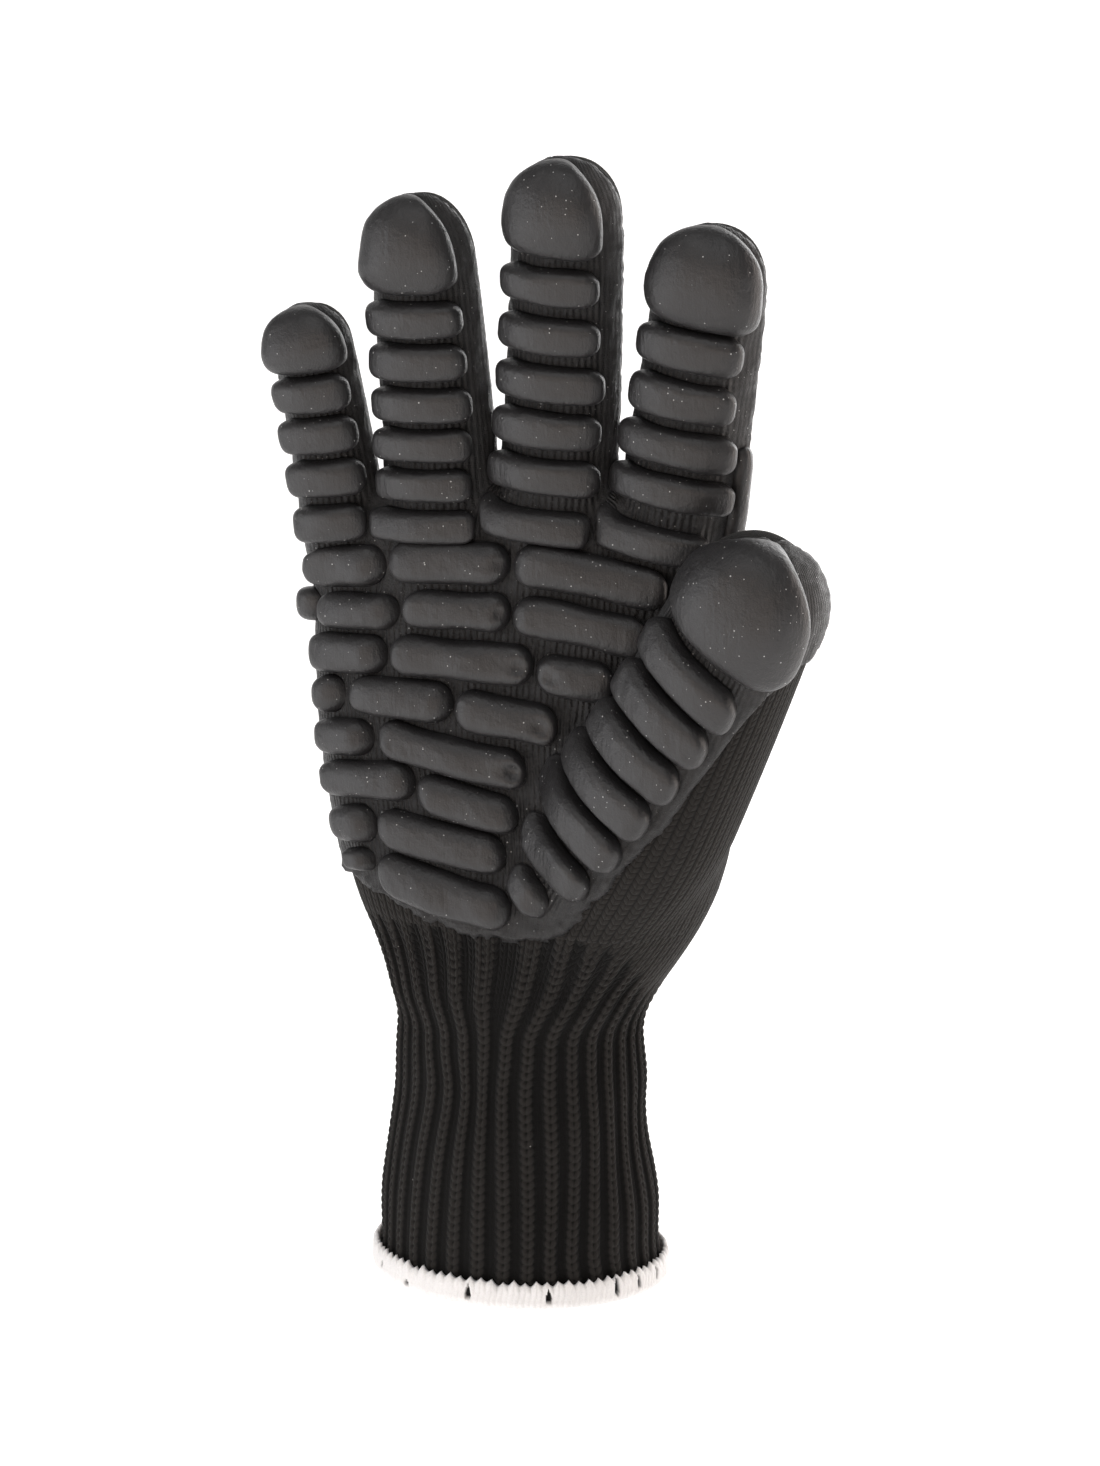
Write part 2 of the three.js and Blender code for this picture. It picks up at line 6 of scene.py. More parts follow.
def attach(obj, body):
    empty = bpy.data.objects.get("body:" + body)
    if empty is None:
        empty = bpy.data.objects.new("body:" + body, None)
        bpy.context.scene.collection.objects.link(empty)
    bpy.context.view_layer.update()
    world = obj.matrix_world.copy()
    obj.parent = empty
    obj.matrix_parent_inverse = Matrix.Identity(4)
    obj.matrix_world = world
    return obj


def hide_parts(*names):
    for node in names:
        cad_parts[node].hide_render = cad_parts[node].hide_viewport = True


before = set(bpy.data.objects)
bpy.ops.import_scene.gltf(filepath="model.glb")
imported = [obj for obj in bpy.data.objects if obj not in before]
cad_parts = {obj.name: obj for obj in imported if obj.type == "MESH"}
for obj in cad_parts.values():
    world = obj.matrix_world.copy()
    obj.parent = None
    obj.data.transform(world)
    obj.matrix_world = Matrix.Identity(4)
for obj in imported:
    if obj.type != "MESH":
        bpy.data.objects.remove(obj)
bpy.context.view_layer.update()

# Camera: it looks at the palm from a little above and from the thumb's side, with the long lens
# of a product photograph, and takes in the whole glove with a margin all round.
azimuth = np.radians(16)
elevation = np.radians(12)
target = Vector((0.0076, 0, 0.134))
distance = 0.7
right = Vector((np.cos(azimuth), np.sin(azimuth), 0))
towards = Vector((right.y * np.cos(elevation), -right.x * np.cos(elevation), np.sin(elevation)))
above = towards.cross(right)
lens = bpy.data.cameras.new("camera")
lens.sensor_fit = "VERTICAL"
lens.sensor_height = 36
lens.lens = 72.54
lens.clip_end = 20
camera = bpy.data.objects.new("camera", lens)
camera.matrix_world = Matrix((right, above, towards)).transposed().to_4x4()
camera.matrix_world.translation = target + towards * distance
bpy.context.scene.collection.objects.link(camera)
bpy.context.scene.camera = camera

# Knitted hand: one seamless piece of plain knitting in black yarn, which holds the four fingers, the
# thumb and the palm. It is knitted on from the cuff, and its wales run on into each finger.
mm = 0.001
hand_wall = 1.8
cuff_length = 62
wrist_width, wrist_depth = 61, 42
palm_length, palm_width, palm_depth = 120, 101, 23
knuckle_crown = 12
finger_square, hand_square = 2.2, 2.5
wale, course = 2.5, 1.75
fillet = 1.4
thumb_reach, ball_reach = 7, 13
skin_cell = 1.35
hand_start = 27.5
jersey_from, jersey_full = 66, 88


def sines(points, wavelength, seed):
    """Smooth noise of unit strength: sine waves of one wavelength in twelve random directions, added."""
    rng = np.random.default_rng(seed)
    waves = rng.normal(size=(12, 3))
    waves *= 2 * np.pi / wavelength / np.linalg.norm(waves, axis=1, keepdims=True)
    phase = rng.uniform(0, 2 * np.pi, 12)
    return np.sin(points @ waves.T + phase).sum(-1) * np.sqrt(2 / 12)


def soft_step(value):
    """An even rise from 0 to 1, level at both ends: three times the square less two times the cube."""
    value = np.clip(value, 0, 1)
    return value * value * (3 - 2 * value)


def power(value, exponent):
    """The exponent is applied to the size of the value, and its sign is kept."""
    return np.sign(value) * np.abs(value) ** exponent


def round_angle(across, square):
    """Angle of a place round a section: 0 is the middle of the palm side, 1 and -1 are the two edges."""
    size = np.abs(across)
    quarter = np.arcsin(np.where(size > 1, 2 - size, size) ** (square / 2))
    return np.sign(across) * np.where(size > 1, np.pi - quarter, quarter)


class Limb:
    """A finger or the thumb: a superellipse carried along an arc that bends towards the palm.

    The size falls evenly from root to tip, the root swells out of a narrower end over its neck, and
    past the straight part the section shrinks with the cosine of the turn, which closes the crown.

    side, up, fore: the root's place, as shares of the palm; deep: depth as a share of the width;
    slim: the tip's size as a share of the root's; crown: the dome's height as a share of the width;
    lean, tilt, curl, roll: degrees; neck, pinch: how long and how narrow the root is; start: its foot."""

    def __init__(self, length, width, side, up, fore, deep, slim, crown, lean, tilt, curl, roll, neck, pinch,
                 start):
        lean, tilt, roll = np.radians([lean, tilt, roll])
        palmar = np.array([-np.sin(lean) * np.sin(tilt), -np.cos(tilt), -np.cos(lean) * np.sin(tilt)])
        sideways = np.array([np.cos(lean), 0, -np.sin(lean)])
        self.along = np.array([np.sin(lean) * np.cos(tilt), -np.sin(tilt), np.cos(lean) * np.cos(tilt)])
        self.palmar = palmar * np.cos(roll) + sideways * np.sin(roll)
        self.sideways = sideways * np.cos(roll) - palmar * np.sin(roll)
        foot = cuff_length + up * palm_length
        self.root = np.array([side * palm_width / 2, -fore * palm_depth / 2, foot])
        self.radius = length / np.radians(curl)
        self.length, self.width, self.deep, self.slim = length, width, deep, slim
        self.neck, self.pinch, self.start = neck, pinch, start
        self.dome = crown * width
        self.straight = length - self.dome
        self.square = finger_square
        self.wales = round(np.pi * width * (1 + deep) / 2 * (1 + slim) / 2 / wale)

    def end(self, height):
        return self.straight + (self.dome + height) * np.pi / 2

    def sizes(self, middle):
        share = middle / self.length
        swell = np.sin(np.clip(share / self.neck, 0, 1) * np.pi / 2)
        taper = (1 + (self.slim - 1) * share) * (self.pinch + (1 - self.pinch) * swell)
        return self.width / 2 * taper, self.width * self.deep / 2 * taper

    def point(self, place, angle, height):
        """The point at a place up the palm side, at an angle round it, at a height above the knit."""
        reach = self.dome + height
        turn = np.clip((place - self.straight) / reach, 0, np.pi / 2)
        middle = np.where(place < self.straight, place, self.straight + reach * np.sin(turn))
        shrink = np.cos(turn) ** 0.92
        bent = middle / self.radius
        wide, deep = self.sizes(middle)
        side = shrink * (wide + height) * power(np.sin(angle), 2 / self.square)
        front = shrink * (deep + height) * power(np.cos(angle), 2 / self.square)
        fore = (1 - np.cos(bent)) * self.radius + front * np.cos(bent)
        rise = np.sin(bent) * self.radius - front * np.sin(bent)
        parts = (rise, self.along), (fore, self.palmar), (side, self.sideways)
        return self.root + sum(np.asarray(size)[..., None] * axis for size, axis in parts)

    def place(self, points):
        """The way back: how far along the limb a point lies, how far to its side and to its front."""
        away = points - self.root
        rise, fore, side = away @ self.along, away @ self.palmar, away @ self.sideways
        bent = np.arctan2(rise, self.radius - fore)
        return bent * self.radius, side, self.radius - np.hypot(rise, self.radius - fore)

    def outside(self, points):
        """Rough distance outside the limb along the ray from its middle line, more below the root."""
        middle, side, front = self.place(points)
        wide, deep = self.sizes(np.clip(middle, 0, self.length))
        ring = np.abs(side / wide) ** self.square + np.abs(front / deep) ** self.square
        ring = ring ** (1 / self.square)
        over = np.maximum(middle - self.straight, 0)
        full = np.sqrt(ring ** (2 / 0.92) + (over / self.dome) ** 2)
        ray = np.sqrt(side**2 + front**2 + over**2)
        return ray * (1 - 1 / np.maximum(full, 0.001)) + np.maximum(self.start - middle, 0) ** 2 / 20

    def stitch(self, points):
        """Wales counted round the limb from the middle of its back, and courses counted up it."""
        middle, side, front = self.place(points)
        wide, deep = self.sizes(np.clip(middle, 0, self.length))
        turns = np.arctan2(side / wide, -front / deep) / (2 * np.pi)
        return np.stack([turns * self.wales, middle / course], -1)


class Hand:
    """The palm and the back of the hand: superellipses blended between a table's rows, its corners eased.

    up: share of the palm's length; middle: share of its width towards the thumb;
    wide, front, back: 0 is the wrist's half size and 1 the knuckles'."""

    up = [0, 0.04, 0.083, 0.167, 0.267, 0.35, 0.417, 0.608, 0.817, 1]
    middle = [0, 0.002, 0.01, 0.028, 0.032, 0.033, 0.028, 0.006, 0.015, 0.03]
    wide = [0, 0.02, 0.1, 0.35, 0.66, 0.8, 0.87, 0.93, 1, 0.98]
    front = [0, 0, 0, 0.06, 0.17, 0.3, 0.41, 0.7, 0.88, 1]
    back = [0, 0.07, 0.2, 0.42, 0.6, 0.7, 0.78, 0.9, 0.92, 1]
    square = hand_square
    wales = 84

    def end(self, height):
        return palm_length + (knuckle_crown + height) * np.pi / 2

    def sizes(self, place):
        share = np.clip(place / palm_length, 0, 1)
        near = [share + shift * np.minimum(share / 0.08, 1) for shift in (-0.04, -0.013, 0.013, 0.04)]
        rows = self.middle, self.wide, self.front, self.back
        blend = [sum(np.interp(level, self.up, row) for level in near) / 4 for row in rows]
        return (
            blend[0] * palm_width,
            (wrist_width + (palm_width - wrist_width) * blend[1]) / 2,
            (wrist_depth + (palm_depth - wrist_depth) * blend[2]) / 2,
            (wrist_depth + (palm_depth - wrist_depth) * blend[3]) / 2,
        )

    def point(self, place, angle, height, square=None):
        reach = knuckle_crown + height
        turn = np.clip((place - palm_length) / reach, 0, np.pi / 2)
        up = np.where(place < palm_length, place, palm_length + reach * np.sin(turn))
        shrink = np.cos(turn) ** 0.6
        middle, half, front, back = self.sizes(place)
        bend = 2 / (self.square if square is None else square)
        fore = power(np.cos(angle), bend)
        depth = np.where(fore > 0, front, back) + height
        x = middle + shrink * (half + height) * power(np.sin(angle), bend)
        return np.stack(np.broadcast_arrays(x, -shrink * depth * fore, cuff_length + up), -1)

    def shares(self, points):
        x, y, up = points[..., 0], points[..., 1], points[..., 2] - cuff_length
        middle, half, front, back = self.sizes(np.clip(up, 0, palm_length))
        return x - middle, half, -y, np.where(y < 0, front, back), up

    def outside(self, points):
        side, half, fore, depth, up = self.shares(points)
        ring = np.abs(side / half) ** self.square + np.abs(fore / depth) ** self.square
        ring = ring ** (1 / self.square)
        over = np.maximum(up - palm_length, 0)
        full = np.sqrt(ring ** (2 / 0.6) + (over / knuckle_crown) ** 2)
        ray = np.sqrt(side**2 + fore**2 + over**2)
        return ray * (1 - 1 / np.maximum(full, 0.001))

    def stitch(self, points):
        """Wales are counted along the section's outline, from the middle of the back to each edge."""
        side, half, fore, depth, up = self.shares(points)
        bend = self.square / 2
        angle = np.arctan2(power(side / half, bend), -power(fore / depth, bend))
        turns = np.linspace(0, np.pi, 200)
        outline = self.point(palm_length * 0.6, np.pi - turns, 0)
        run = np.append(0, np.cumsum(np.linalg.norm(np.diff(outline, axis=0), axis=1)))
        share = np.interp(np.abs(angle), turns, run / run[-1])
        return np.stack([np.sign(angle) * share / 2 * self.wales, up / course], -1)


hand = Hand()
little = Limb(70, 19.5, -0.8, 0.867, 0, 0.95, 0.83, 0.48, -5.5, 2, 16, 0, 0.3, 0.78, 2)
ring = Limb(94, 26.8, -0.336, 0.883, 0, 0.84, 0.8, 0.56, -0.7, 2, 17, 0, 0.1, 1, 2)
middle = Limb(100.5, 26, 0.172, 0.9, 0, 0.88, 0.87, 0.5, 5.2, 2, 17, 0, 0.1, 1, 2)
index = Limb(88.4, 27.5, 0.708, 0.883, 0, 0.82, 0.81, 0.46, 10, 2, 15, 0, 0.3, 0.82, 2)
thumb = Limb(117, 46, 0.337, 0.183, 0.64, 0.826, 0.64, 0.33, 28.5, 6, 12, -16, 0.4, 0.5, 4)
limbs = [hand, little, ring, middle, index, thumb]


def each_outside(points):
    return np.stack([limb.outside(points) for limb in limbs])


def skin_height(points):
    """Distance outside the knitted hand: the least of the limbs' distances, rounded off where they meet.

    The fingers join by the log of the sum of the exponentials. The thumb joins by taking off a quarter
    of its reach times the square of the nearness, and reaches further over its ball and its outer side."""
    each = each_outside(points)
    least = each[:-1].min(0)
    palm = least - fillet * np.log(np.exp((least - each[:-1]) / fillet).sum(0))
    x, up = points[..., 0], points[..., 2] - cuff_length
    ball = np.maximum(soft_step((50 - up) / 28), soft_step((85 - up) / 30) * soft_step((x - 28) / 14))
    reach = thumb_reach + (ball_reach - thumb_reach) * ball * soft_step((up - 4) / 18)
    near = np.maximum(reach - np.abs(palm - each[-1]), 0) / reach
    return np.minimum(palm, each[-1]) - near**2 * reach / 4


def skin_slope(points):
    """How fast the skin's height grows along X, Y and Z, by small steps."""
    step = 0.05
    here = skin_height(points)
    slope = np.stack([(skin_height(points + step * axis) - here) / step for axis in np.eye(3)], -1)
    return here, slope


def upright(points):
    """The direction straight out of the skin, of unit length."""
    slope = skin_slope(points)[1]
    return slope / np.maximum(np.linalg.norm(slope, axis=1, keepdims=True), 0.001)


def settle(points, height=0, rounds=4):
    """Moves points along the slope until they lie at a height above the knit."""
    for _ in range(rounds):
        here, slope = skin_slope(points)
        points = points - ((here - height) / np.maximum((slope**2).sum(-1), 0.05))[:, None] * slope
    return points


def grid(rows, columns, closed_rows=False):
    """Four-cornered faces between neighbours in a grid of points whose rows are closed loops."""
    i = np.arange(rows if closed_rows else rows - 1)[:, None]
    j = np.arange(columns)[None]
    after = (j + 1) % columns
    low, high = i * columns, (i + 1) % rows * columns
    return np.stack([low + j, low + after, high + after, high + j], -1).reshape(-1, 4)


def zipped(rows, columns):
    """A grid whose first and last loops are closed by faces from side to side."""
    j = np.arange(columns // 2 - 1)
    first = np.stack([j + 1, j, columns - 1 - j, columns - 2 - j], -1)
    last = np.stack([j, j + 1, columns - 2 - j, columns - 1 - j], -1) + (rows - 1) * columns
    return np.concatenate([grid(rows, columns), first, last])


def outward(points, faces):
    """Turns the faces of a closed shell so that its volume is positive."""
    a, b, c, d = (points[faces[:, k]] for k in range(4))
    volume = (a * np.cross(b, c)).sum() + (a * np.cross(c, d)).sum()
    return faces if volume > 0 else faces[:, ::-1]


def put(name, points, faces, flat=None):
    """A mesh of points in millimetres and four-cornered faces, smooth apart from the faces marked flat."""
    mesh = bpy.data.meshes.new(name)
    mesh.from_pydata((points * mm).tolist(), [], faces.tolist())
    mesh.shade_smooth()
    if flat is not None:
        mesh.polygons.foreach_set("use_smooth", ~flat)
    piece = bpy.data.objects.new(name, mesh)
    bpy.context.scene.collection.objects.link(piece)
    return piece


def shell(limb, low, rows, columns):
    """One limb as a closed shell: loops along it, the last of them near the end of its crown."""
    straight = np.linspace(low, limb.end(0) * 0.985, rows)
    angles = (np.arange(columns) + 0.5) / columns * 2 * np.pi
    points = limb.point(straight[:, None], angles[None], 0).reshape(-1, 3)
    return points, outward(points, zipped(rows, columns))


def skin(cell):
    """The glove's skin as even small faces: the limbs' shells fused, then settled on the rounded join."""
    shells = [shell(hand, -8, 40, 96)] + [shell(limb, limb.start - 6, 40, 48) for limb in limbs[1:]]
    starts = np.cumsum([0] + [len(points) for points, _ in shells[:-1]])
    block = put(
        "skin_block",
        np.concatenate([points for points, _ in shells]),
        np.concatenate([faces + start for (_, faces), start in zip(shells, starts)]),
    )
    fused = block.modifiers.new("fused", "REMESH")
    fused.mode = "VOXEL"
    fused.voxel_size = cell * mm
    mesh = block.evaluated_get(bpy.context.evaluated_depsgraph_get()).to_mesh()
    points = np.empty(len(mesh.vertices) * 3)
    mesh.vertices.foreach_get("co", points)
    corners = np.empty(len(mesh.loops), int)
    mesh.loops.foreach_get("vertex_index", corners)
    bpy.data.objects.remove(block)
    return settle(points.reshape(-1, 3) / mm), corners.reshape(-1, 4)


def kept(points, faces, keep):
    """The faces whose corners are all kept, with the points that they use."""
    faces = faces[keep[faces].all(1)]
    used = np.unique(faces)
    order = np.zeros(len(points), int)
    order[used] = np.arange(len(used))
    return points[used], order[faces]


def chart(piece, points, faces, limb_of_face=None):
    """Gives each corner its wale and course on its face's limb, with no jump round the back."""
    if limb_of_face is None:
        limb_of_face = each_outside(points[faces].mean(1)).argmin(0)
    wales = np.array([limb.wales for limb in limbs])[limb_of_face]
    corners = np.empty((len(faces), 4, 2))
    for number, limb in enumerate(limbs):
        mine = limb_of_face == number
        corners[mine] = limb.stitch(points[faces[mine]])
    corners[..., 0] -= np.round((corners[..., 0] - corners[:, :1, 0]) / wales[:, None]) * wales[:, None]
    layer = piece.data.uv_layers.new(name="stitches")
    layer.data.foreach_set("uv", corners.ravel())


def nodes_of(name, **values):
    """A material and three short ways to work on it: add a node, add a sum, link to the shader."""
    material = bpy.data.materials.new(name)
    material.use_nodes = True
    tree = material.node_tree
    shader = tree.nodes["Principled BSDF"]
    for socket, value in values.items():
        shader.inputs[socket.replace("_", " ")].default_value = value

    def add(kind, operation=None, inputs=(), **settings):
        node = tree.nodes.new("ShaderNode" + kind)
        if operation:
            node.operation = operation
        for key, value in settings.items():
            setattr(node, key, value)
        for socket, value in enumerate(inputs):
            if isinstance(value, bpy.types.NodeSocket):
                tree.links.new(value, node.inputs[socket])
            elif value is not None:
                node.inputs[socket].default_value = value
        return node

    def math(operation, *inputs):
        return add("Math", operation, inputs).outputs[0]

    def link(output, socket):
        tree.links.new(output, shader.inputs[socket])

    return material, add, math, link


def noise(add, place, scale, detail, rough=0.5):
    """Cloudy noise at a scale in spots a metre."""
    node = add("TexNoise")
    node.inputs["Scale"].default_value = scale
    node.inputs["Detail"].default_value = detail
    node.inputs["Roughness"].default_value = rough
    node.id_data.links.new(place, node.inputs["Vector"])
    return node.outputs["Fac"]


def ramp(add, value, low, high, first, last):
    """A number between first and last as the value goes from low to high."""
    return add("MapRange", inputs=(value, low, high, first, last)).outputs[0]


def colours(add, value, *stops):
    """A colour ramp, each stop a place and a colour."""
    node = add("ValToRGB", inputs=(value,))
    for _ in stops[2:]:
        node.color_ramp.elements.new(0.5)
    for element, (place, colour) in zip(node.color_ramp.elements, stops):
        element.position = place
        element.color = (*colour, 1)
    return node.outputs[0]


def bump(add, height, depth):
    """Relief of a depth in metres."""
    node = add("Bump")
    node.inputs["Distance"].default_value = depth
    node.id_data.links.new(height, node.inputs["Height"])
    return node.outputs[0]


def painted(add, share, under, over):
    """The colour under, covered by the colour over where the share is 1."""
    inputs = share, None, None, None, None, None, under, over
    return add("Mix", data_type="RGBA", inputs=inputs).outputs[2]


def specks(add, math, place, size, spacing, share):
    """Small round specks: the middles of cells of a spacing, in a share of them."""
    cells = add("TexVoronoi")
    cells.inputs["Scale"].default_value = 1 / spacing
    cells.id_data.links.new(place, cells.inputs["Vector"])
    chance = add("SeparateColor", inputs=(cells.outputs["Color"],))
    reach = math("MULTIPLY", chance.outputs[1], size / spacing)
    near = math("LESS_THAN", cells.outputs["Distance"], reach)
    return math("MULTIPLY", near, math("LESS_THAN", chance.outputs[0], share))


knit, add, math, link = nodes_of("knit", Roughness=0.9, Sheen_Weight=0.04, Sheen_Roughness=0.6,
                                 Specular_IOR_Level=0.2)
stitch = add("SeparateXYZ", inputs=(add("UVMap", uv_map="stitches").outputs[0],))
where = add("TexCoord").outputs["Object"]
edge = math("ABSOLUTE", math("SUBTRACT", math("MULTIPLY", math("FRACT", stitch.outputs[0]), 2), 1))
climb = math("FRACT", math("SUBTRACT", stitch.outputs[1], math("MULTIPLY", edge, 0.6)))
loop = math("POWER", math("SINE", math("MULTIPLY", climb, np.pi)), 0.6)
leg = math("SUBTRACT", math("SUBTRACT", 1, math("POWER", edge, 4)), ramp(add, edge, 0, 0.3, 0.35, 0))
plain = math("MULTIPLY", leg, math("ADD", 0.45, math("MULTIPLY", loop, 0.55)))
fade = ramp(add, add("SeparateXYZ", inputs=(where,)).outputs[2], jersey_from * mm, jersey_full * mm, 0, 1)
jersey = math("MULTIPLY", plain, fade)
fuzz = noise(add, where, 2600, 3, 0.7)
relief = bump(add, math("ADD", jersey, math("MULTIPLY", fuzz, 0.3)), 0.0006)
link(relief, "Normal")
# The yarn's colour carries painted shade. It is darker the deeper a point lies between the stitches and down
# in the ribs' grooves, and the fuzz adds some random tone.
groove_shade = add("Attribute", attribute_name="groove_shade").outputs["Fac"]
stitches = math("ADD", math("MULTIPLY", jersey, 0.8), math("MULTIPLY", math("SUBTRACT", 1, fade), 0.6))
depth = math("ADD", stitches, math("SUBTRACT", math("MULTIPLY", fuzz, 0.4), groove_shade))
yarn = colours(add, depth, (0.1, (0.0016, 0.0014, 0.0013)), (0.85, (0.0195, 0.0176, 0.0162)))
lint = specks(add, math, where, 0.0002, 0.0045, 0.3)
link(painted(add, lint, yarn, (0.2, 0.19, 0.18, 1)), "Base Color")

points, faces = skin(skin_cell)
points, faces = kept(points, faces, points[:, 2] > cuff_length + hand_start)
knitted_hand = put("knitted_hand", points, faces)
chart(knitted_hand, points, faces)
wall = knitted_hand.modifiers.new("wall", "SOLIDIFY")
wall.thickness = hand_wall * mm
wall.offset = -1
knitted_hand.data.materials.append(knit)
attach(knitted_hand, "root")
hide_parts("knit_hand")

# Wrist: the lowest part of the same knitting, where the cuff's ribs run out between the plain wales.
# It is one tube with its wall's thickness, and its upper end tucks in under the hand's first courses.
rib_count = 35
rib_depth = 1.0
rib_course = 2.0
rib_samples = 18
row_step = 0.34
wrist_top = 31
groove_floor, groove_lip = -0.75, -0.1
mouth_width, mouth_depth = 71, 56


def ribs(turn, up, strength):
    """Height of the ribbing: round ribs with deep grooves, each rib a column of V-shaped stitches.

    Within a rib the stitches' phase falls with the distance from its middle, which slants their legs,
    and a narrow valley parts the two legs."""
    count = turn * rib_count / (2 * np.pi)
    across = (count - np.floor(count) - 0.5) / 0.36
    inside = np.clip(1 - np.abs(across) ** 2.4, 0, 1)
    phase = up / rib_course - 0.6 * np.abs(across) + 0.13 * np.sin(7.3 * np.floor(count))
    lump = 1 - np.abs(2 * (phase - np.floor(phase)) - 1) ** 2.2
    valley = np.exp(-((across / 0.18) ** 2))
    groove = (inside - 1) * rib_depth
    crest = inside**0.5 * (0.42 * (lump - 0.7) - 0.34 * valley)
    return strength * (groove + crest)


def mark_groove_shade(piece, height, low, high):
    """Marks painted shade in the grooves, by how far each point lies sunk below its neighbours: 0 at the
    high level and 1 at the low one.
    """
    groove_shade = np.zeros(len(piece.data.vertices), np.float32)
    groove_shade[: len(height)] = 1 - soft_step((height - low) / (high - low))
    piece.data.attributes.new("groove_shade", "FLOAT", "POINT").data.foreach_set("value", groove_shade)


def cuff_sizes(up):
    """Half width and half depth of the cuff, which narrows from its mouth to the wrist."""
    share = up / cuff_length
    wide = np.interp(share, [0, 0.33, 0.72, 1], [1, 0.72, 0.18, 0])
    deep = np.interp(share, [0, 0.33, 0.72, 1], [1, 0.72, 0.22, 0])
    half_width = (wrist_width + (mouth_width - wrist_width) * wide) / 2
    return half_width, (wrist_depth + (mouth_depth - wrist_depth) * deep) / 2


turns = np.arange(rib_count * rib_samples) / (rib_count * rib_samples) * 2 * np.pi


def ribbed_tube(name, node, outside, inside, ribbing):
    """A tube with its wall: all the loops up the outside, five of them down the inside, and flat ends."""
    levels = len(outside) // len(turns)
    inner_rows = [levels - 1, levels * 3 // 4, levels // 2, levels // 4, 0]
    inside = inside.reshape(levels, -1, 3)[inner_rows].reshape(-1, 3)
    points = np.concatenate([outside, inside])
    faces = outward(points, grid(levels + len(inner_rows), len(turns), closed_rows=True))
    ends = np.isin(np.arange(len(faces)) // len(turns), [levels - 1, levels + len(inner_rows) - 1])
    piece = put(name, points, faces, ends)
    # Painted shade in the ribs' grooves, for the yarn's colour
    mark_groove_shade(piece, ribbing, groove_floor, groove_lip)
    chart(piece, points, faces, np.zeros(len(faces), int))
    piece.data.materials.append(knit)
    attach(piece, "root")
    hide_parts(node)


rows = np.arange(-2 * row_step, wrist_top + 0.01, row_step)
up, turn = (axis.ravel() for axis in np.meshgrid(rows, turns, indexing="ij"))
rounding = 2 + (hand_square - 2) * soft_step(up / 14)
points = hand.point(up, turn, 0, rounding)
share = soft_step((up - 2) / 12)[:, None]
points = points * (1 - share) + settle(points) * share
outer = np.stack([points[:, 0] / wrist_width**2, points[:, 1] / wrist_depth**2, 0 * up], -1)
normal = outer / np.linalg.norm(outer, axis=1, keepdims=True) * (1 - share) + upright(points) * share
tuck = 0.03 * np.clip(up / 0.6, -1, 1) - 0.07 * soft_step((up - wrist_top + 5) / 5)
runs_out = 5 + 16 * soft_step((np.cos(turn + 0.35) + 0.1) / 0.9)
ribbing = ribs(turn, up, 1 - soft_step((up - runs_out) / 12))
outside = points + normal * (ribbing + tuck)[:, None]
ribbed_tube("knitted_wrist", "knit_hand", outside, points - normal * hand_wall, ribbing)

# Ribbed cuff: 35 ribs of the same black yarn, knitted with elastic so that it grips the wrist.
# It widens to its mouth, stands in soft buckles, and its lower end is held in the hem.
cuff_wall = 2.2
cuff_foot = 2.0
cuff_rows = 150
cuff_tongue = [0.32, 0.64]
middle_half, middle_deep = 35, 25
rib_drift, buckle_height = 0.022, 0.55
rows = np.append(np.linspace(cuff_foot, cuff_length, cuff_rows), cuff_length + np.array(cuff_tongue))
up, turn = (axis.ravel() for axis in np.meshgrid(rows, turns, indexing="ij"))
away = soft_step((cuff_length - up) / 14) * soft_step((up - 1) / 12)
round_cuff = np.stack([middle_half * np.sin(turn), -middle_deep * np.cos(turn), up], -1)
drift = rib_drift * sines(round_cuff * [1, 1, 0.6], 34, 3) * away
half, deep = cuff_sizes(up)
buckle = buckle_height * sines(round_cuff * [1, 1, 1.6], 42, 5) * away
normal = np.stack([np.sin(turn + drift) / half, -np.cos(turn + drift) / deep, 0 * up], -1)
normal /= np.linalg.norm(normal, axis=1, keepdims=True)
base = np.stack([half * np.sin(turn + drift), -deep * np.cos(turn + drift), up], -1)
ribbing = ribs(turn, up - cuff_length, 1)
tuck = 0.03 * np.clip((cuff_length - up) / 0.6, -1, 1)
outside = base + normal * (buckle + ribbing + tuck)[:, None]
inside = base + normal * (buckle - cuff_wall)[:, None]
ribbed_tube("ribbed_cuff", "rib_cuff", outside, inside, ribbing)

# Hem: white yarn overlocked round the cuff's end. Its threads stand side by side, two to a loop, the
# loops' tops make small teeth, and here and there they part in a drop that shows the black cuff.
hem_height = 6
hem_wall = 1.3
hem_floor = 1.4
hem_gap = 0.3
thread_count = 168
thread_samples = 8
profile_steps = 48
thread_height, tooth_height, drop_depth = 0.3, 1.1, 1.1
# Drops: place round the cuff in radians, foot above the hem's lower face, and height
drops = [(-0.12, 1.5, 3.2), (0.42, 1.6, 3.0), (0.92, 1.9, 3.9), (1.13, 2.2, 3.0), (1.36, 2.6, 2.6),
         (-0.95, 2.4, 1.2), (-0.62, 1.2, 1.0), (2.3, 1.8, 2.8), (-2.5, 1.6, 2.6), (3.0, 2, 2.4)]
turns = np.arange(thread_count * thread_samples) / (thread_count * thread_samples) * 2 * np.pi
outer, inner = hem_gap + hem_wall, -cuff_wall - hem_gap - hem_wall
corners = np.array([
    (hem_gap + 0.05, hem_height), (outer * 0.75, hem_height), (outer, hem_height * 0.8),
    (outer, hem_height * 0.2), (outer - 0.5 * hem_wall, 0), (inner + 0.5 * hem_wall, 0),
    (inner, hem_height * 0.2), (inner, hem_height * 0.75), (inner + 0.3 * hem_wall, hem_height * 0.9),
    (-cuff_wall - hem_gap, hem_height * 0.9),
    (-cuff_wall - hem_gap, hem_floor), (hem_gap, hem_floor),
])
edges = np.diff(np.vstack([corners, corners[:1]]), axis=0)
